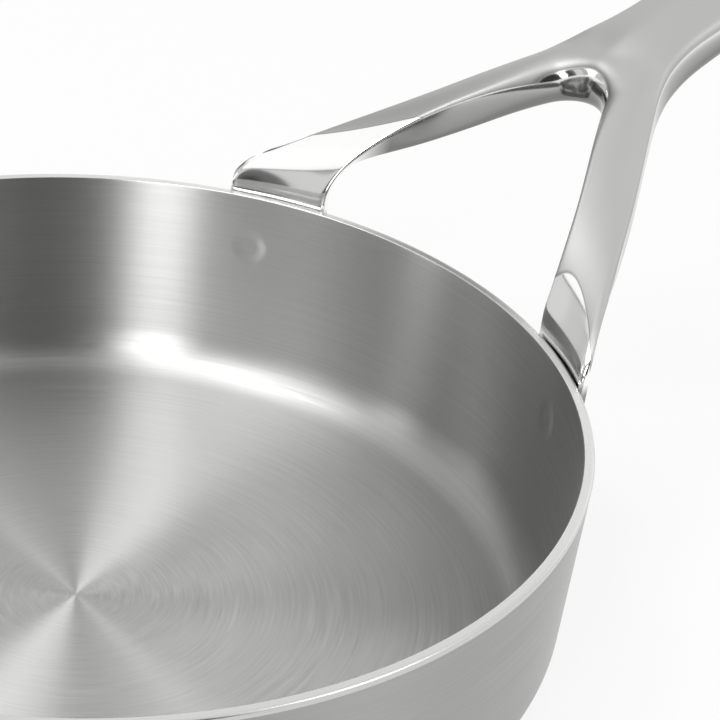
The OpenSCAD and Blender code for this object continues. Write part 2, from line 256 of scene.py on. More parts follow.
@dataclass(frozen=True)
class CastSteel:
    """Cast stainless steel, blasted to a satin on top and polished bright on its sides and bends.
    Its polished sides and the first of the satin past the polish carry painted shade in their
    colour.

    A blasted grain is about 0.1 mm across and wouldn't show, so grain_mm is drawn coarser.
    """

    name: str
    satin_colour: str = "#b4b4b3"
    polished_colour: str = "#fcfcfb"
    # Painted shade: the polished sides are given this darker colour
    side_shade_colour: str = "#828281"
    # Painted shade along the first of the satin past the polish
    border_shade_colour: str = "#7c7c7b"
    satin_roughness: float = 0.5
    polished_roughness: float = 0.11
    # Upward part of the normal between which a side becomes the satin top
    top_normal: tuple[float, float] = (0.16, 0.3)
    # Upward part of the normal between which the painted shade on a polished side fades out
    side_shade_normal: tuple[float, float] = (-0.1, 0.3)
    # Distance from the pan's axis between which a foot's bend becomes a leg's side and takes the
    # sides' painted shade
    side_from_mm: tuple[float, float] = (127, 134)
    # Height between which the bend starts and below which a foot has the sides' polish, painted
    # darker as shade
    plate_z_mm: tuple[float, float] = (52, 55)
    # Half the width of the border between satin and polish
    border_mm: float = 0.2
    # Width of the painted shade on the satin past the polish, and how strongly it starts
    border_shade_mm: float = 1.2
    border_shade_share: float = 0.75
    grain_mm: float = 0.5
    grain_depth_mm: float = 0.03
    grain_strength: float = 0.2

    def material(self, past_polish: Measure) -> bpy.types.Material:
        """Build the casting's finishes.

        Args:
            past_polish: Adds nodes that measure how far a point lies past the polished bend.

        Returns:
            The material.
        """
        material, tree = new_material(self.name)
        spot = add_node(tree, "TexCoord")
        place = spot.outputs["Object"]
        facing = add_node(tree, "SeparateXYZ", {}, {0: spot.outputs["Normal"]})
        upward = add_node(tree, "MapRange", {"interpolation_type": "SMOOTHSTEP"},
                          {0: facing.outputs[2], 1: self.top_normal[0], 2: self.top_normal[1]})
        shaded_flank = add_node(tree, "MapRange", {"interpolation_type": "SMOOTHSTEP"},
                         {0: facing.outputs[2], 1: self.side_shade_normal[0],
                          2: self.side_shade_normal[1], 3: 1.0, 4: 0.0})
        past = past_polish(tree, place)
        beyond = add_node(tree, "MapRange", {},
                          {0: past, 1: -self.border_mm * MM, 2: self.border_mm * MM})
        satin = add_node(tree, "Math", {"operation": "MULTIPLY"},
                         {0: upward.outputs[0], 1: beyond.outputs[0]})
        flat = add_node(tree, "VectorMath", {"operation": "MULTIPLY"}, {0: place, 1: (1, 1, 0)})
        radius = add_node(tree, "VectorMath", {"operation": "LENGTH"}, {0: flat.outputs[0]})
        off_foot = add_node(tree, "MapRange", {},
                            {0: radius.outputs["Value"], 1: self.side_from_mm[0] * MM,
                             2: self.side_from_mm[1] * MM})
        parts = add_node(tree, "SeparateXYZ", {}, {0: place})
        low = add_node(tree, "MapRange", {},
                       {0: parts.outputs[2], 1: self.plate_z_mm[0] * MM,
                        2: self.plate_z_mm[1] * MM, 3: 1.0, 4: 0.0})
        off_bend = add_node(tree, "Math", {"operation": "MAXIMUM"},
                            {0: off_foot.outputs[0], 1: low.outputs[0]})
        # Mask of the painted side shade: the sides, and the foot plate below the bend
        side = add_node(tree, "Math", {"operation": "MULTIPLY"},
                        {0: shaded_flank.outputs[0], 1: off_bend.outputs[0]})
        # Painted shade: the first of the satin past the polished border is drawn darker
        edge = add_node(tree, "MapRange", {"interpolation_type": "SMOOTHSTEP"},
                        {0: past, 1: 0.0, 2: self.border_shade_mm * MM, 3: self.border_shade_share, 4: 0.0})
        grain = add_node(tree, "TexNoise", {},
                         {"Vector": place, "Scale": 1 / (self.grain_mm * MM), "Detail": 3.0})
        # Satin colour with the painted shade along its border
        blasted = add_node(tree, "Mix", {"data_type": "RGBA"},
                           {"Factor": edge.outputs[0], "A": linear(self.satin_colour),
                            "B": linear(self.border_shade_colour)})
        # Polished colour, painted darker on the sides as shade
        bright = add_node(tree, "Mix", {"data_type": "RGBA"},
                          {"Factor": side.outputs[0], "A": linear(self.polished_colour),
                           "B": linear(self.side_shade_colour)})
        tone = add_node(tree, "Mix", {"data_type": "RGBA"},
                        {"Factor": satin.outputs[0], "A": bright.outputs["Result"],
                         "B": blasted.outputs["Result"]})
        rough = add_node(tree, "MapRange", {},
                         {0: satin.outputs[0], 3: self.polished_roughness, 4: self.satin_roughness})
        height = add_node(tree, "Math", {"operation": "MULTIPLY"},
                          {0: grain.outputs["Fac"], 1: satin.outputs[0]})
        bump = add_node(tree, "Bump", {},
                        {"Strength": self.grain_strength, "Distance": self.grain_depth_mm * MM,
                         "Height": height.outputs[0]})
        metal = add_node(tree, "BsdfPrincipled", {},
                         {"Base Color": tone.outputs["Result"], "Metallic": 1.0,
                          "Roughness": rough.outputs[0], "Normal": bump.outputs[0]})
        add_node(tree, "OutputMaterial", {}, {"Surface": metal.outputs[0]})
        return material


@dataclass(frozen=True)
class PlainMetal:
    """Metal that the closed sheet hides: rolled aluminium or the fused steel of a weld."""

    name: str
    colour: str
    roughness: float
    cloud_mm: float = 0.8
    rough_shares: tuple[float, float] = (0.85, 1.15)

    def material(self) -> bpy.types.Material:
        """Build the metal with the faint cloud that rolling or fusing leaves.

        Returns:
            The material.
        """
        material, tree = new_material(self.name)
        place = add_node(tree, "TexCoord").outputs["Object"]
        cloud = add_node(tree, "TexNoise", {},
                         {"Vector": place, "Scale": 1 / (self.cloud_mm * MM), "Detail": 2.0})
        rough = add_node(tree, "MapRange", {},
                         {0: cloud.outputs["Fac"], 3: self.roughness * self.rough_shares[0],
                          4: self.roughness * self.rough_shares[1]})
        metal = add_node(tree, "BsdfPrincipled", {},
                         {"Base Color": linear(self.colour), "Metallic": 1.0,
                          "Roughness": rough.outputs[0]})
        add_node(tree, "OutputMaterial", {}, {"Surface": metal.outputs[0]})
        return material


@dataclass
class PanSheet:
    """The deep-drawn pan of five layers and the weld that closes their edge.

    Lengths are in millimetres and angles in degrees.
    """

    rim_d: float = 240
    pan_h: float = 55
    wall_lean: float = 5
    corner_r: float = 11
    layers: tuple[tuple[str, float], ...] = (
        ("cooking_layer", 0.4), ("upper_bond_layer", 0.3), ("aluminium_core", 1.1),
        ("lower_bond_layer", 0.3), ("outer_layer", 0.5))
    seal_h: float = 1.6
    rim_round: float = 0.8
    mouth_round: float = 0.25
    turn_steps: int = 256
    corner_steps: int = 20
    rim_step: int = 15
    mouth_step: int = 30
    # Flats have an extra ring of points this far from a rounding, so that they shade flat
    hold: float = 1
    rim_hold: float = 0.125
    sharp_from: float = 35
    # The rim's faces that point up less than this, on its innermost millimetre, are brushed
    ground_up: float = 0.3
    brushed_in: float = 1
    sheet_t: float = field(init=False)
    mouth_r: float = field(init=False)
    bend_z: float = field(init=False)
    bend_x: float = field(init=False)

    def __post_init__(self) -> None:
        """Work out the sheet's thickness and the centre that its rounded corner shares."""
        lean = math.radians(self.wall_lean)
        self.sheet_t = sum(thickness for _, thickness in self.layers)
        self.mouth_r = self.rim_d / 2 - self.sheet_t / math.cos(lean)
        self.bend_z = self.sheet_t + self.corner_r
        self.bend_x = (self.mouth_r - (self.pan_h - self.bend_z) * math.tan(lean)
                       - self.corner_r / math.cos(lean))

    def wall_x(self, depth: float, z: float) -> float:
        """Radius of the wall at height z and at a depth into the sheet."""
        lean = math.radians(self.wall_lean)
        return self.mouth_r + depth / math.cos(lean) - (self.pan_h - z) * math.tan(lean)

    def face_line(self, depth: float, top: float) -> Outline:
        """Draw the section of one face of a layer.

        Args:
            depth: How deep the face lies under the cooking face.
            top: Height of the section's upper end.

        Returns:
            Radius and height of each corner, from the axis out and up.
        """
        line = [(0.0, self.sheet_t - depth), (self.bend_x - self.hold, self.sheet_t - depth)]
        reach = self.corner_r + depth
        for i in range(self.corner_steps + 1):
            angle = math.radians(-90 + i * (90 - self.wall_lean) / self.corner_steps)
            line.append((self.bend_x + reach * math.cos(angle),
                         self.bend_z + reach * math.sin(angle)))
        held = line[-1][1] + self.hold
        return [*line, (self.wall_x(depth, held), held), (self.wall_x(depth, top), top)]

    def spun(self, name: str, outline: Outline, closed: bool) -> bpy.types.Object:
        """Turn a section about the pan's axis.

        Args:
            name: The piece's name.
            outline: Radius and height of each corner of the section.
            closed: Whether the section's last corner joins its first.

        Returns:
            The round piece.
        """
        mesh = bmesh.new()
        corners = [mesh.verts.new((x, 0, z)) for x, z in outline]
        pairs = list(zip(corners, corners[1:]))
        if closed:
            pairs.append((corners[-1], corners[0]))
        edges = [mesh.edges.new(pair) for pair in pairs]
        bmesh.ops.spin(mesh, geom=corners + edges, cent=(0, 0, 0), axis=UP, dvec=(0, 0, 0),
                       angle=math.tau, steps=self.turn_steps, use_merge=True, use_duplicate=False)
        bmesh.ops.remove_doubles(mesh, verts=mesh.verts, dist=MERGE_MM)
        return finished_mesh(name, mesh, self.sharp_from)

    def layer(self, name: str, depth: float, thickness: float) -> bpy.types.Object:
        """Build one steel layer of the sheet, up to the weld at the rim.

        Args:
            name: The piece's name.
            depth: Depth of the layer's upper face under the cooking face.
            thickness: The layer's thickness.

        Returns:
            The layer.
        """
        top = self.pan_h - self.seal_h
        outer = self.face_line(depth + thickness, top)
        inner = self.face_line(depth, top)
        return self.spun(name, outer + inner[::-1], closed=False)

    def rim(self, name: str) -> bpy.types.Object:
        """Build the ring of weld metal, ground flat on top and rounded to the outside.

        Args:
            name: The piece's name.

        Returns:
            The ring.
        """
        base, round_z = self.pan_h - self.seal_h, self.pan_h - self.rim_round
        held_z = self.pan_h - self.mouth_round - 2 * self.rim_hold
        outer = self.wall_x(self.sheet_t, self.pan_h)
        outline = [(self.wall_x(0, base), base), (self.wall_x(self.sheet_t, base), base),
                   (self.wall_x(self.sheet_t, round_z), round_z)]
        for angle in range(self.rim_step, 91, self.rim_step):
            turn = math.radians(angle)
            outline.append((outer - self.rim_round * (1 - math.cos(turn)),
                            self.pan_h - self.rim_round * (1 - math.sin(turn))))
        outline.append((outline[-1][0] - self.rim_hold, self.pan_h))
        outline.append((self.mouth_r + self.mouth_round + self.rim_hold, self.pan_h))
        for angle in range(90, 181, self.mouth_step):
            turn = math.radians(angle)
            outline.append((self.mouth_r + self.mouth_round * (1 + math.cos(turn)),
                            self.pan_h - self.mouth_round * (1 - math.sin(turn))))
        outline.append((self.wall_x(0, held_z), held_z))
        return self.spun(name, outline, closed=True)

    def brushed_face(self, face: bpy.types.MeshPolygon) -> bool:
        """Whether a face of the rim belongs to the brushed inside of the wall."""
        near = face.center.xy.length < (self.mouth_r + self.brushed_in) * MM
        return near and face.normal.z < self.ground_up and face.normal.xy.dot(face.center.xy) < 0

    def build(self, cooking: bpy.types.Material, outside: bpy.types.Material,
              ground: bpy.types.Material) -> None:
        """Build the three pieces of steel that show.

        Args:
            cooking: Finish of the inside.
            outside: Finish of the outside.
            ground: Finish of the rim's top and outer edge.
        """
        top_layer, outer_layer = self.layers[0], self.layers[-1]
        inside = self.layer("cooking_surface", 0, top_layer[1])
        inside.data.materials.append(cooking)
        placed(inside, top_layer[0])
        skin = self.layer("outside_surface", self.sheet_t - outer_layer[1], outer_layer[1])
        skin.data.materials.append(outside)
        placed(skin, outer_layer[0])
        rim = self.rim("ground_rim")
        for material in (ground, cooking):
            rim.data.materials.append(material)
        for face in rim.data.polygons:
            face.material_index = int(self.brushed_face(face))
        placed(rim, "rim_seal")


@dataclass
class ForkedHandle:
    """The cast handle: two foot plates, two legs, a stem and its hanging hole.

    One half is a loft of rings from a foot to the end of the stem. Each ring runs over the top,
    down the outer side, back underneath and up the inner side. The other half is its mirror image.
    Lengths are in millimetres and angles in degrees, and the worked out angles are in radians.
    """

    pan: PanSheet
    foot_angle: float = 25.4
    foot_w: float = 27.6
    foot_t: float = 2.9
    foot_drop: float = 24
    foot_corner: float = 7
    weld_gap: float = 0.6
    weld_drop: float = 14
    weld_turn: float = 2.6
    leg_splay: float = 34.3
    leg_w: float = 13.9
    leg_shift: float = 3.3
    leg_rise: float = 28.5
    leg_t: float = 7.1
    leg_roll: float = 2
    knee_h: float = 8.2
    knee_run: float = 43.5
    notch_r: float = 10.8
    web_r: float = 50
    stem_t: float = 12.6
    stem_w: float = 26
    grip_w: float = 31
    reach: float = 322
    bend_r: float = 550
    hang_d: float = 10
    hang_in: float = 14
    hang_edge: float = 0.6
    leg_edge: float = 1.3
    notch_edge: float = 5.5
    under_edge: float = 3.2
    stem_edge: float = 4.2
    leg_crown: float = 0.7
    stem_crown: float = 1.4
    # Width over which the two legs' slopes run into each other on the axis
    blend_w: float = 8
    # Shares of the knee's run that its edges go straight up, underneath and along the leg
    knee_rise_share: float = 0.2
    knee_under_share: float = 0.3
    knee_along_share: float = 0.5
    # Shares of the way to the stem's own edges and crown, at the tip and along the stem
    tip_edge_share: float = 0.5
    stem_edge_share: float = 1 / 3
    side_crown_share: float = 0.25
    # The border of the bend's polish: past the foot at its inner and outer end, and its bow
    left_polish: tuple[float, float, float] = (36, 3, 0)
    right_polish: tuple[float, float, float] = (16.5, -21.8, 9.6)
    notch_polish_share: float = 0.16
    round_steps: int = 3
    face_steps: int = 4
    knee_steps: int = 10
    leg_steps: int = 5
    notch_steps: int = 6
    hole_steps: int = 12
    foot_shares: tuple[float, ...] = (0, 0.2, 0.5, 0.8, 1)
    stem_shares: tuple[float, ...] = (0.05, 0.11, 0.18, 0.26, 0.35, 0.45, 0.56, 0.67, 0.78, 0.89,
                                      0.96)
    side_step: float = 0.1
    smooth_levels: int = 2
    across: Vector = field(init=False)
    along: Vector = field(init=False)
    foot_r: float = field(init=False)
    foot_half: float = field(init=False)
    foot_mid: float = field(init=False)
    foot_s: float = field(init=False)
    inner_n: float = field(init=False)
    outer_n: float = field(init=False)
    notch_x: float = field(init=False)
    tip_x: float = field(init=False)
    tip_run: float = field(init=False)
    tangent_s: float = field(init=False)
    knee_s: float = field(init=False)
    web_x: float = field(init=False)
    web_start: float = field(init=False)
    web_end: float = field(init=False)
    end_r: float = field(init=False)
    end_x: float = field(init=False)
    bend_end: float = field(init=False)
    foot_top: float = field(init=False)

    def __post_init__(self) -> None:
        """Work out the legs' lines as seen from above and the bend seen from the side."""
        splay = math.radians(self.leg_splay)
        self.across = Vector((math.sin(splay), math.cos(splay)))
        self.along = Vector((math.cos(splay), -math.sin(splay)))
        self.foot_r = self.pan.rim_d / 2 + self.weld_gap
        self.foot_half = self.foot_w / self.foot_r / 2
        self.foot_mid = math.radians(self.foot_angle)
        self.foot_s = self.foot_r * math.cos(splay + self.foot_mid)
        leg_n = self.foot_r * math.sin(splay + self.foot_mid) + self.leg_shift
        self.inner_n = leg_n - self.leg_w / 2
        self.outer_n = leg_n + self.leg_w / 2
        self.notch_x = (self.inner_n - self.notch_r) / math.sin(splay)
        self.tip_x = self.notch_x + self.notch_r
        self.tangent_s = self.notch_x * math.cos(splay)
        self.knee_s = self.foot_s + self.knee_run
        self.web_x = (self.outer_n - self.stem_w / 2 * math.cos(splay)) / math.sin(splay)
        web_run = self.web_r * math.tan(splay / 2)
        self.web_start = self.web_x - web_run * math.cos(splay)
        self.web_end = self.web_x + web_run
        self.end_r = self.grip_w / 2
        self.end_x = self.reach - self.end_r
        self.tip_run = self.run_of(Vector((self.tip_x, 0)))
        self.bend_end = self.foot_s + self.bend_r * math.sin(math.radians(self.leg_rise))
        self.foot_top = self.pan.pan_h + self.leg_edge

    def half_w(self, x: float) -> float:
        """Work out half the handle's width, past the notch.

        Args:
            x: Distance from the pan's axis.

        Returns:
            Distance from the handle's axis to its side.
        """
        splay = math.radians(self.leg_splay)
        if x < self.web_start:
            return (self.outer_n - x * math.sin(splay)) / math.cos(splay)
        if x < self.web_end:
            fall = math.sqrt(self.web_r**2 - (self.web_end - x) ** 2)
            return self.stem_w / 2 + self.web_r - fall
        share = (x - self.web_end) / (self.end_x - self.web_end)
        return mixed(self.stem_w / 2, self.end_r, eased(share))

    def run_of(self, point: Vector) -> float:
        """Distance along the legs, with the ridge on the axis smoothed."""
        return point.x * self.along.x + self.along.y * math.hypot(point.y, self.blend_w)

    def slope_at(self, run: float) -> float:
        """Slope of the top at a distance along the legs, in radians."""
        return math.asin((self.bend_end - min(run, self.bend_end)) / self.bend_r)

    def top_z(self, point: Vector) -> float:
        """Height of the top above the base."""
        rise = math.cos(self.slope_at(self.run_of(point))) - math.cos(math.radians(self.leg_rise))
        return self.pan.pan_h + self.knee_h + self.bend_r * rise

    def depth(self, point: Vector) -> float:
        """Depth of the handle under its top."""
        share = (self.run_of(point) - self.foot_s) / (self.tip_run - self.foot_s)
        return min(self.stem_t, mixed(self.leg_t, self.stem_t, share))

    def leg_point(self, s: float, n: float) -> Vector:
        """A point of the plan at distance s along a leg and n across it."""
        return s * self.along + n * self.across

    def at_top(self, point: Vector, raised: float = 0) -> Vector:
        """The point of the top above a point of the plan."""
        return Vector((point.x, point.y, self.top_z(point) + raised))

    def at_base(self, point: Vector) -> Vector:
        """The point of the underside above a point of the plan."""
        return Vector((point.x, point.y, self.top_z(point) - self.depth(point)))

    def fillet(self, corner: Vector, side: Vector, down: Vector, radius: float,
               flip: bool) -> Ring:
        """Round one corner of a ring.

        Args:
            corner: The sharp corner.
            side: Way into the metal along the top or the underside.
            down: Way into the metal along the side.
            radius: The rounding's radius.
            flip: Whether the points run from the top or the underside to the side.

        Returns:
            Points round the corner.
        """
        points = []
        for i in range(self.round_steps + 1):
            angle = math.pi / 2 * i / self.round_steps
            points.append(corner + side * radius * (1 - math.cos(angle))
                          + down * radius * (1 - math.sin(angle)))
        return points[::-1] if flip else points

    def face(self, a: Vector, b: Vector, bulge: Vector) -> Ring:
        """Points between the rounded corners of one face."""
        shares = [i / self.face_steps for i in range(1, self.face_steps)]
        return [a.lerp(b, t) + bulge * 4 * t * (1 - t) for t in shares]

    def ring(self, corners: tuple[Vector, Vector, Vector, Vector], sides: tuple[Vector, Vector],
             edges: tuple[float, float], bulge: Vector, under: Vector) -> Ring:
        """Draw one ring of the loft.

        Args:
            corners: Inner top, outer top, outer base and inner base.
            sides: Ways into the metal from the inner and from the outer side.
            edges: Radii of the inner and of the outer edges.
            bulge: How far the top swells at its middle.
            under: How far the underside swells at its middle.

        Returns:
            The ring's points, from the inner top corner round.
        """
        inner_top, outer_top, outer_base, inner_base = corners
        side_i, side_o = sides
        edge_i, edge_o = edges
        low_i = min(edge_i, self.under_edge)
        down_i = (inner_base - inner_top).normalized()
        down_o = (outer_base - outer_top).normalized()
        return [
            *self.fillet(inner_top, side_i, down_i, edge_i, False),
            *self.face(inner_top + side_i * edge_i, outer_top + side_o * edge_o, bulge),
            *self.fillet(outer_top, side_o, down_o, edge_o, True),
            *self.fillet(outer_base, side_o, -down_o, edge_o, False),
            *self.face(outer_base + side_o * edge_o, inner_base + side_i * low_i, under),
            *self.fillet(inner_base, side_i, -down_i, low_i, True),
        ]

    def polar(self, radius: float, angle: float, z: float) -> Vector:
        """A point at a radius and an angle from the handle's axis."""
        return Vector((radius * math.cos(angle), radius * math.sin(angle), z))

    def foot_face_r(self, z: float) -> float:
        """Radius of the foot's face that looks at the wall."""
        return self.pan.wall_x(self.pan.sheet_t, min(z, self.pan.pan_h)) + self.weld_gap

    def foot_sag(self, radius: float, half: float) -> Vector:
        """How far the middle of a foot stands out from the line between its ends."""
        return self.polar(radius * (1 - math.cos(half)), self.foot_mid, 0)

    def plate_ring(self, z: float, half: float) -> Ring:
        """Draw a level ring of the foot plate, curved as the wall is.

        Args:
            z: The ring's height.
            half: Half the angle that the plate covers, in radians.

        Returns:
            The ring's points.
        """
        radius = self.foot_face_r(z)
        far = radius + self.foot_t
        a, b = self.foot_mid - half, self.foot_mid + half
        corners = (self.polar(radius, a, z), self.polar(radius, b, z),
                   self.polar(far, b, z), self.polar(far, a, z))
        over = (corners[1] - corners[0]).normalized()
        sag = self.foot_sag(radius, half)
        return self.ring(corners, (over, -over), (self.leg_edge, self.leg_edge), sag, sag)

    def foot_rings(self) -> list[Ring]:
        """Draw the foot, from its rounded lower corners to the bend.

        Returns:
            The foot's rings.
        """
        base = self.pan.pan_h - self.foot_drop
        rings = []
        for share in self.foot_shares:
            turn = math.radians(90 * share)
            cut = self.foot_corner / self.foot_w * 2 * (1 - math.sin(turn))
            rings.append(self.plate_ring(base + self.foot_corner * (1 - math.cos(turn)),
                                         self.foot_half * (1 - cut)))
        rings.append(self.plate_ring(self.pan.pan_h - self.foot_corner, self.foot_half))
        rings.append(self.plate_ring(self.foot_top, self.foot_half))
        return rings

    def knee_line(self, start: Vector, end: Vector, rise_share: float, slope: float,
                  share: float) -> Vector:
        """Find a point of one edge of the bend between a foot and its leg.

        Args:
            start: The edge's lower end, where it stands upright.
            end: Its upper end, where it has the leg's slope.
            rise_share: Share of the bend's run that it goes straight up.
            slope: Rise of the leg for each millimetre along it.
            share: How far along the edge the point is.

        Returns:
            The point.
        """
        first = start + UP * self.knee_run * rise_share
        way = Vector((self.along.x, self.along.y, slope)).normalized()
        last = end - way * self.knee_run * self.knee_along_share
        rest = 1 - share
        return (start * rest**3 + first * 3 * share * rest**2
                + last * 3 * share**2 * rest + end * share**3)

    def knee_ring(self, share: float) -> Ring:
        """Draw a ring of the bend between a foot and its leg.

        Args:
            share: How far along the bend it is.

        Returns:
            The ring's points.
        """
        radius = self.foot_face_r(self.foot_top)
        far = radius + self.foot_t
        a, b = self.foot_mid - self.foot_half, self.foot_mid + self.foot_half
        inner = self.leg_point(self.knee_s, self.inner_n)
        outer = self.leg_point(self.knee_s, self.outer_n)
        slope = math.tan(self.slope_at(self.knee_s))
        under = slope - (self.stem_t - self.leg_t) / (self.tip_run - self.foot_s)
        corners = (
            self.knee_line(self.polar(radius, a, self.foot_top), self.at_top(inner),
                           self.knee_rise_share, slope, share),
            self.knee_line(self.polar(radius, b, self.foot_top),
                           self.at_top(outer, -self.leg_roll),
                           self.knee_rise_share, slope, share),
            self.knee_line(self.polar(far, b, self.foot_top), self.at_base(outer),
                           self.knee_under_share, under, share),
            self.knee_line(self.polar(far, a, self.foot_top), self.at_base(inner),
                           self.knee_under_share, under, share),
        )
        over = (corners[1] - corners[0]).normalized()
        sag = self.foot_sag(radius, self.foot_half) * (1 - share)
        return self.ring(corners, (over, -over), (self.leg_edge, self.leg_edge),
                         sag + UP * self.leg_crown * share, sag)

    def plan_ring(self, inner: Vector, outer: Vector, sides: tuple[Vector, Vector],
                  edges: tuple[float, float], raised: float, bulge: float, roll: float) -> Ring:
        """Draw a ring between two points of the plan.

        Args:
            inner: Point on the inner side.
            outer: Point on the outer side.
            sides: Ways into the metal from each side, in the plan.
            edges: Radii of the inner and of the outer edges.
            raised: How far the top's inner corner is raised.
            bulge: How far the top swells at its middle.
            roll: How far the top's outer corner is lowered.

        Returns:
            The ring's points.
        """
        corners = (self.at_top(inner, raised), self.at_top(outer, -roll),
                   self.at_base(outer), self.at_base(inner))
        ways = (sides[0].to_3d(), sides[1].to_3d())
        return self.ring(corners, ways, edges, UP * bulge, Vector((0, 0, 0)))

    def leg_rings(self) -> list[Ring]:
        """Draw a leg with rings square to it.

        Returns:
            The leg's rings.
        """
        rings = []
        for i in range(self.leg_steps):
            share = i / self.leg_steps
            s = mixed(self.knee_s, self.tangent_s, share)
            edges = (mixed(self.leg_edge, self.notch_edge, share**2), self.leg_edge)
            rings.append(self.plan_ring(self.leg_point(s, self.inner_n),
                                        self.leg_point(s, self.outer_n),
                                        (self.across, -self.across), edges,
                                        0, self.leg_crown, self.leg_roll))
        return rings

    def side_way(self, x: float) -> Vector:
        """Way into the metal from the handle's side at distance x."""
        step = self.side_step
        return Vector((self.half_w(x + step) - self.half_w(x), -step)).normalized()

    def notch_rings(self) -> list[Ring]:
        """Draw the metal round the notch, with the rings' outer ends on the handle's side.

        Returns:
            The rings from the leg to the handle's axis.
        """
        rings = []
        first = self.leg_point(self.tangent_s, self.outer_n).x
        side_crown = self.stem_crown * self.side_crown_share
        for i in range(self.notch_steps + 1):
            share = i / self.notch_steps
            angle = math.radians((90 - self.leg_splay) * (1 - share))
            x = mixed(first, self.web_x, share)
            away = Vector((math.cos(angle), math.sin(angle) if share < 1 else 0))
            inner = Vector((self.notch_x, 0)) + away * self.notch_r
            edge = mixed(self.leg_edge, self.stem_edge, share * self.tip_edge_share)
            rings.append(self.plan_ring(inner, Vector((x, self.half_w(x))),
                                        (away, self.side_way(x)), (self.notch_edge, edge),
                                        self.stem_crown * share,
                                        mixed(self.leg_crown, side_crown, share),
                                        self.leg_roll * (1 - share)))
        return rings

    def dome_ring(self, inner: Vector, outer: Vector, sides: tuple[Vector, Vector],
                  edges: tuple[float, float], inward: float) -> Ring:
        """Draw a ring of the stem's domed top.

        Args:
            inner: Point on the inner side.
            outer: Point on the outer side.
            sides: Ways into the metal from each side, in the plan.
            edges: Radii of the inner and of the outer edges.
            inward: How far the inner point is from the axis to the side, as a share.

        Returns:
            The ring's points.
        """
        bulge = self.stem_crown * self.side_crown_share * (1 - inward) ** 2
        return self.plan_ring(inner, outer, sides, edges,
                              self.stem_crown * (1 - inward**2), bulge, 0)

    def stem_rings(self) -> list[Ring]:
        """Draw the stem up to the hanging hole, with rings from its axis to its side.

        Returns:
            The stem's rings.
        """
        rings = []
        hole_start = self.reach - self.hang_in - self.hang_d / 2
        tip_edge = mixed(self.leg_edge, self.stem_edge, self.tip_edge_share)
        for share in self.stem_shares:
            x = mixed(self.tip_x + self.notch_edge, hole_start, share)
            side_x = mixed(self.web_x, self.end_x - self.end_r, share)
            edge = mixed(tip_edge, self.stem_edge, min(1, share / self.stem_edge_share))
            rings.append(self.dome_ring(Vector((x, 0)), Vector((side_x, self.half_w(side_x))),
                                        (Vector((-1, 0)), self.side_way(side_x)), (0, edge), 0))
        return rings

    def hole_rings(self) -> list[Ring]:
        """Draw the metal round the hanging hole and the rounded end.

        Returns:
            The rings from the stem round the hole to the handle's tip.
        """
        rings = []
        middle = Vector((self.reach - self.hang_in, 0))
        centre = Vector((self.end_x, 0))
        for i in range(self.hole_steps + 1):
            angle = math.pi * (1 - i / self.hole_steps)
            away = Vector((math.cos(angle), math.sin(angle) if 0 < i < self.hole_steps else 0))
            inner = middle + away * self.hang_d / 2
            if away.x < 0:
                x = self.end_x + self.end_r * away.x
                outer, side = Vector((x, self.half_w(x))), self.side_way(x)
                inward = inner.y / outer.y
            else:
                outer, side = centre + away * self.end_r, -away
                inward = (inner - centre).length / self.end_r
            rings.append(self.dome_ring(inner, outer, (away, side),
                                        (self.hang_edge, self.stem_edge), inward))
        return rings

    def lofted(self, rings: list[Ring]) -> bmesh.types.BMesh:
        """Extrude the first ring through all the others.

        Args:
            rings: The rings of one half, with the same number of points in each.

        Returns:
            The half, closed at the foot and open on the handle's upright plane.
        """
        mesh = bmesh.new()
        made = bmesh.ops.create_circle(mesh, cap_ends=True, radius=1, segments=len(rings[0]))
        loop = list(made["verts"])
        for vert, point in zip(loop, rings[0]):
            vert.co = point
        for ring in rings[1:]:
            edges = [mesh.edges.get((a, b)) for a, b in zip(loop, loop[1:] + loop[:1])]
            new = {v for v in bmesh.ops.extrude_edge_only(mesh, edges=edges)["geom"]
                   if isinstance(v, bmesh.types.BMVert)}
            loop = [next(e.other_vert(v) for e in v.link_edges if e.other_vert(v) in new)
                    for v in loop]
            for vert, point in zip(loop, ring):
                vert.co = point
        flat = [f for f in mesh.faces if all(abs(v.co.y) < MERGE_MM for v in f.verts)]
        bmesh.ops.delete(mesh, geom=flat, context="FACES")
        bmesh.ops.remove_doubles(mesh, verts=mesh.verts, dist=MERGE_MM)
        return mesh

    def build(self, name: str, finish: bpy.types.Material) -> None:
        """Loft one half, mirror it and round it with a subdivision surface.

        Args:
            name: The piece's name.
            finish: The casting's material.
        """
        knees = [self.knee_ring(i / self.knee_steps) for i in range(1, self.knee_steps)]
        mesh = self.lofted([*self.foot_rings(), *knees, *self.leg_rings(), *self.notch_rings(),
                            *self.stem_rings(), *self.hole_rings()])
        everything = mesh.verts[:] + mesh.edges[:] + mesh.faces[:]
        bmesh.ops.mirror(mesh, geom=everything, matrix=Matrix.Identity(4), merge_dist=MERGE_MM,
                         axis="Y")
        bmesh.ops.remove_doubles(mesh, verts=mesh.verts, dist=MERGE_MM)
        piece = finished_mesh(name, mesh)
        rounding = piece.modifiers.new("rounding", "SUBSURF")
        rounding.levels = rounding.render_levels = self.smooth_levels
        piece.data.materials.append(finish)
        placed(piece, "handle_casting")

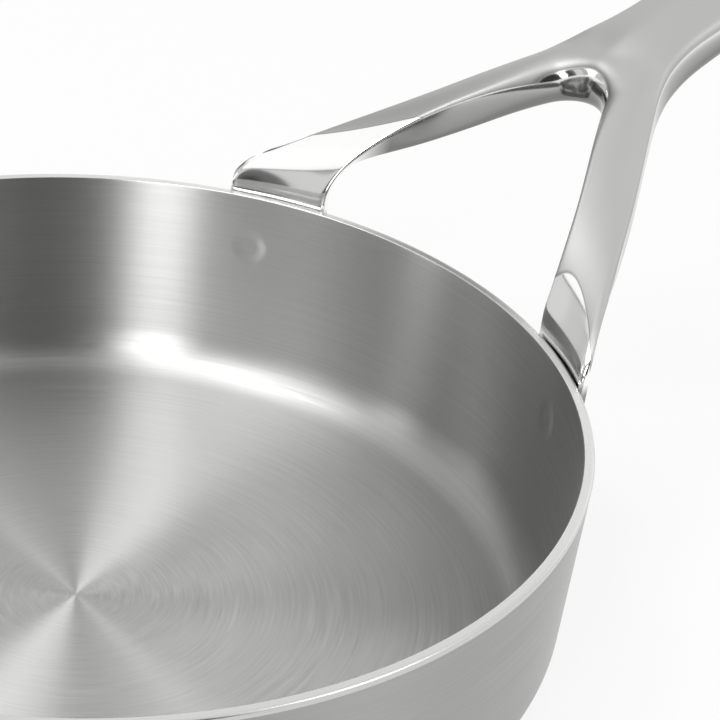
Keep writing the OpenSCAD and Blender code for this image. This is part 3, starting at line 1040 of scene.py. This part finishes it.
    def past_polish(self, tree: bpy.types.NodeTree,
                    place: bpy.types.NodeSocket) -> bpy.types.NodeSocket:
        """Measure how far a point lies past the polished bend of its leg, in metres.

        Args:
            tree: The casting's node tree.
            place: Object coordinates.

        Returns:
            The socket with the distance, below zero on the bend and round the notch.
        """
        parts = add_node(tree, "SeparateXYZ", {}, {0: place})
        side = add_node(tree, "Math", {"operation": "ABSOLUTE"}, {0: parts.outputs[1]})
        spot = add_node(tree, "CombineXYZ", {}, {0: parts.outputs[0], 1: side.outputs[0]})
        run = add_node(tree, "VectorMath", {"operation": "DOT_PRODUCT"},
                       {0: spot.outputs[0], 1: tuple(self.along.to_3d())})
        over = add_node(tree, "VectorMath", {"operation": "DOT_PRODUCT"},
                        {0: spot.outputs[0], 1: tuple(self.across.to_3d())})
        share = add_node(tree, "MapRange", {},
                         {0: over.outputs["Value"], 1: self.inner_n * MM, 2: self.outer_n * MM})
        past = []
        for inner_end, outer_end, bow in (self.right_polish, self.left_polish):
            # A parabola across the leg that lies bow past the straight line at its middle
            slope = add_node(tree, "Math", {"operation": "MULTIPLY_ADD"},
                             {0: share.outputs[0], 1: -4 * bow * MM,
                              2: (outer_end - inner_end + 4 * bow) * MM})
            limit = add_node(tree, "Math", {"operation": "MULTIPLY_ADD"},
                             {0: share.outputs[0], 1: slope.outputs[0],
                              2: (self.foot_s + inner_end) * MM})
            past.append(add_node(tree, "Math", {"operation": "SUBTRACT"},
                                 {0: run.outputs["Value"], 1: limit.outputs[0]}).outputs[0])
        left = add_node(tree, "Math", {"operation": "GREATER_THAN"}, {0: parts.outputs[1], 1: 0.0})
        bend = add_node(tree, "Mix", {}, {"Factor": left.outputs[0], "A": past[0], "B": past[1]})
        notch = add_node(tree, "VectorMath", {"operation": "DISTANCE"},
                         {0: spot.outputs[0], 1: (self.notch_x * MM, 0, 0)})
        reach = (self.notch_r + self.notch_edge * self.notch_polish_share) * MM
        off_notch = add_node(tree, "Math", {"operation": "SUBTRACT"},
                             {0: notch.outputs["Value"], 1: reach})
        return add_node(tree, "Math", {"operation": "MINIMUM"},
                        {0: bend.outputs[0], 1: off_notch.outputs[0]}).outputs[0]

    def weld_marks(self) -> tuple[Vector, ...]:
        """Find the middles of the two spot welds on the cooking face.

        Returns:
            The left one and the right one.
        """
        z = self.pan.pan_h - self.weld_drop
        radius = self.pan.wall_x(0, z)
        angle = self.foot_mid + math.radians(self.weld_turn)
        return tuple(self.polar(radius, turn, z) for turn in (angle, -angle))


@dataclass(frozen=True)
class Lamp:
    """A soft lamp at angles from the pan in degrees, with its distance and size in metres."""

    name: str
    azimuth: float
    elevation: float
    distance: float
    size: tuple[float, float]
    # How bright its face is, where 1 is white
    level: float

    def place(self) -> Vector:
        """Work out where the lamp hangs.

        Returns:
            Its middle, in metres.
        """
        turn, rise = math.radians(self.azimuth), math.radians(self.elevation)
        out = self.distance * math.cos(rise)
        return Vector((out * math.cos(turn), out * math.sin(turn), self.distance * math.sin(rise)))

    def hang(self, aim: Vector, watts_per_level: float) -> None:
        """Hang the lamp, unseen by the camera.

        Args:
            aim: The point it faces.
            watts_per_level: Watts that make a square metre of lamp white.
        """
        data = bpy.data.lights.new(self.name, "AREA")
        data.shape = "RECTANGLE"
        data.size, data.size_y = self.size
        data.energy = self.level * watts_per_level * self.size[0] * self.size[1]
        lamp = bpy.data.objects.new(self.name, data)
        place = self.place()
        turn = (place - aim).to_track_quat("Z", "Y").to_matrix().to_4x4()
        lamp.matrix_world = Matrix.Translation(place) @ turn
        lamp.visible_camera = False
        bpy.context.scene.collection.objects.link(lamp)


@dataclass(frozen=True)
class Drape:
    """A cloth round part of the studio for the metal to mirror, by its edges' angles in degrees."""

    name: str
    start: float
    end: float
    low: float
    high: float
    # How bright it is, where 1 is white
    level: float
    steps: int = 24

    def hang(self, radius: float) -> None:
        """Hang the drape, unseen by the camera.

        Args:
            radius: Its distance from the pan, in millimetres.
        """
        mesh = bmesh.new()
        foot = Matrix.Rotation(math.radians(self.start), 3, "Z") @ Vector((radius, 0, 0))
        ends = [mesh.verts.new(foot + UP * radius * math.tan(math.radians(rise)))
                for rise in (self.low, self.high)]
        edge = mesh.edges.new(ends)
        bmesh.ops.spin(mesh, geom=[*ends, edge], cent=(0, 0, 0), axis=UP, dvec=(0, 0, 0),
                       angle=math.radians(self.end - self.start), steps=self.steps,
                       use_merge=False, use_duplicate=False)
        drape = finished_mesh(self.name, mesh)
        material, tree = new_material(self.name + "_cloth")
        grey = add_node(tree, "Emission", {}, {"Color": WHITE, "Strength": self.level})
        add_node(tree, "OutputMaterial", {}, {"Surface": grey.outputs[0]})
        drape.data.materials.append(material)
        drape.visible_camera = False


@dataclass
class Studio:
    """Plain pale floor, soft lamps, drapes and the camera that the photograph was taken with."""

    # The camera's angles in degrees and its distance in radii of the pan's mouth
    camera_heading: float = 46
    camera_dip: float = 30.35029421495773
    camera_roll: float = 4.629593499774936
    camera_reach: float = 5.93895116
    # The photograph is cut to one side, so the camera looks past the pan's middle
    shift_right_px: float = -279.366050
    shift_up_px: float = 48.7671011
    focal_px: float = 3000
    frame_px: float = 720
    sensor_mm: float = 36
    # Share of the floor's brightness that is plain white, the rest is paint that takes shadow
    floor_white: float = 0.85
    floor_colour: str = "#f6f6f6"
    floor_half_mm: float = 6000
    floor_gap_mm: float = 0.2
    sky_level: float = 0.6
    watts_per_level: float = 4
    aim_z_mm: float = 40
    drape_r_mm: float = 1900
    # Lamps and drapes stand where the photograph's reflections put them
    lamps: tuple[Lamp, ...] = (
        Lamp("side_softbox", 156, 68, 1.4, (0.9, 0.55), 3.7),
        Lamp("right_softbox", 300, 48, 1.5, (0.4, 0.5), 3.5),
        Lamp("key_strip", 211.5, 25, 1.6, (0.38, 1.2), 4.3))
    drapes: tuple[Drape, ...] = (
        Drape("back_panel", -15, 52, 0, 35, 1.3),
        Drape("far_drape", 60, 96, 0, 31, 0.06),
        Drape("side_drape_1", 96, 107, 0, 39.5, 0.56),
        Drape("side_drape_2", 107, 117, 0, 39.5, 0.66),
        Drape("side_drape_3", 117, 139, 0, 39.5, 0.5),
        Drape("side_drape_4", 139, 149, 0, 28, 3.0),
        Drape("side_drape_5", 149, 164, 0, 39.5, 0.42),
        Drape("side_drape_6", 164, 182, 0, 39.5, 0.62),
        Drape("side_drape_7", 182, 190, 0, 44, 0.12),
        Drape("side_drape_8", 190, 204, 0, 60, 0.04),
        Drape("drape_rail", 96, 182, 39.5, 41, 0.08),
        Drape("rear_drape", 219.5, 262, 0, 76, 0.03))

    def seen(self, tree: bpy.types.NodeTree) -> bpy.types.NodeSocket:
        """Tell what the camera sees, also by way of metal or glass, from what lights the pan.

        Args:
            tree: The floor's or the world's node tree.

        Returns:
            A socket that is 1 for what is seen and 0 for light.
        """
        path = add_node(tree, "LightPath")
        both = add_node(tree, "Math", {"operation": "MAXIMUM"},
                        {0: path.outputs["Is Camera Ray"], 1: path.outputs["Is Glossy Ray"]})
        return add_node(tree, "Math", {"operation": "MAXIMUM"},
                        {0: both.outputs[0], 1: path.outputs["Is Transmission Ray"]}).outputs[0]

    def floor(self) -> None:
        """Lay a wide pale floor that keeps the pan's shadow, a little below the pan's base."""
        mesh = bmesh.new()
        bmesh.ops.create_grid(mesh, x_segments=1, y_segments=1, size=self.floor_half_mm)
        bmesh.ops.translate(mesh, vec=(0, 0, -self.floor_gap_mm), verts=mesh.verts)
        floor = finished_mesh("studio_floor", mesh)
        # Matt near-white paint: it shows the pan's soft shadow and nothing else
        material, tree = new_material("pale_floor")
        paint = add_node(tree, "BsdfDiffuse", {}, {"Color": linear(self.floor_colour)})
        white = add_node(tree, "Emission", {}, {"Color": WHITE, "Strength": 1.0})
        share = add_node(tree, "Math", {"operation": "MULTIPLY"},
                         {0: self.seen(tree), 1: self.floor_white})
        both = add_node(tree, "MixShader", {},
                        {0: share.outputs[0], 1: paint.outputs[0], 2: white.outputs[0]})
        add_node(tree, "OutputMaterial", {}, {"Surface": both.outputs[0]})
        floor.data.materials.append(material)

    def world(self) -> None:
        """Set white surroundings that light the pan a little less than they show."""
        world = bpy.data.worlds.new("studio_world")
        bpy.context.scene.world = world
        world.use_nodes = True
        tree = world.node_tree
        tree.nodes.clear()
        sky = add_node(tree, "Background", {}, {"Color": WHITE, "Strength": self.sky_level})
        white = add_node(tree, "Background", {}, {"Color": WHITE, "Strength": 1.0})
        blend = add_node(tree, "MixShader", {},
                         {0: self.seen(tree), 1: sky.outputs[0], 2: white.outputs[0]})
        add_node(tree, "OutputWorld", {}, {"Surface": blend.outputs[0]})

    def camera(self, pan: PanSheet) -> None:
        """Put the camera where the photograph was taken from.

        Args:
            pan: The pan whose mouth the camera's place was measured from.
        """
        turn = (Matrix.Rotation(math.radians(-self.camera_heading), 4, "Z")
                @ Matrix.Rotation(math.radians(90 - self.camera_dip), 4, "X")
                @ Matrix.Rotation(math.radians(self.camera_roll), 4, "Z"))
        distance = self.camera_reach * pan.mouth_r * MM
        back = Vector((-self.shift_right_px * distance / self.focal_px,
                       self.shift_up_px * distance / self.focal_px, distance))
        place = Vector((0, 0, pan.pan_h * MM)) + turn.to_3x3() @ back
        data = bpy.data.cameras.new("photo_camera")
        data.sensor_width = self.sensor_mm
        data.lens = self.focal_px / self.frame_px * self.sensor_mm
        camera = bpy.data.objects.new("photo_camera", data)
        camera.matrix_world = Matrix.Translation(place) @ turn
        bpy.context.scene.collection.objects.link(camera)
        bpy.context.scene.camera = camera

    def build(self, pan: PanSheet) -> None:
        """Set up the whole studio.

        Args:
            pan: The pan that the camera looks at.
        """
        self.floor()
        self.world()
        for lamp in self.lamps:
            lamp.hang(Vector((0, 0, self.aim_z_mm * MM)), self.watts_per_level)
        for drape in self.drapes:
            drape.hang(self.drape_r_mm)
        self.camera(pan)
        bpy.context.scene.view_settings.view_transform = "Standard"
        log.info("studio: %d lamps, %d drapes", len(self.lamps), len(self.drapes))


def main() -> None:
    """Build the pan's visible pieces, dress the hidden ones and set up the studio."""
    logging.basicConfig(level=logging.INFO, format="%(name)s %(message)s")
    pan = PanSheet()
    handle = ForkedHandle(pan)
    # Stainless brushed on a lathe: grey with round lines, bright fans and upright bands
    cooking = BrushedSteel("lathe_brushed_stainless", weld_marks=handle.weld_marks()).material()
    # Magnetic stainless with a fine satin: a darker and calmer grey whose lines differ little.
    # They are drawn at 0.6 mm, because finer ones make false patterns where the wall turns away
    outside = BrushedSteel("satin_magnetic_stainless", colour="#b0b0af", line_colour="#a5a5a4",
                           line_mm=0.6).material()
    # Weld metal ground on a belt: a pale thin ring that catches the light all the way round
    ground = BrushedSteel("ground_rim_steel", colour="#d2d2d1", line_colour="#c8c8c7",
                          roughness=0.26, anisotropy=0.4).material()
    pan.build(cooking, outside, ground)
    # Cast stainless: a soft satin top against mirror bends and polished sides, with painted shade
    # darkening the sides and the first of the satin past the polish
    casting = CastSteel("cast_stainless").material(handle.past_polish)
    handle.build("fork_and_stem", casting)
    # Rolled aluminium is paler than steel and hardly mirrors, fused weld steel is dull and warm
    hidden = {
        "upper_bond_layer": PlainMetal("rolled_bond_alloy", "#d8d8da", 0.35),
        "aluminium_core": PlainMetal("rolled_pure_aluminium", "#e2e2e4", 0.3),
        "lower_bond_layer": PlainMetal("rolled_lower_bond_alloy", "#d8d8da", 0.35),
        "left_weld_nugget": PlainMetal("fused_left_weld", "#a8a6a3", 0.45),
        "right_weld_nugget": PlainMetal("fused_right_weld", "#a8a6a3", 0.45),
    }
    for node, metal in hidden.items():
        finish = metal.material()
        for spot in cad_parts[node].material_slots:
            spot.material = finish
        log.info("%s keeps its CAD shape", node)
    Studio().build(pan)


if __name__ == "__main__":
    main()
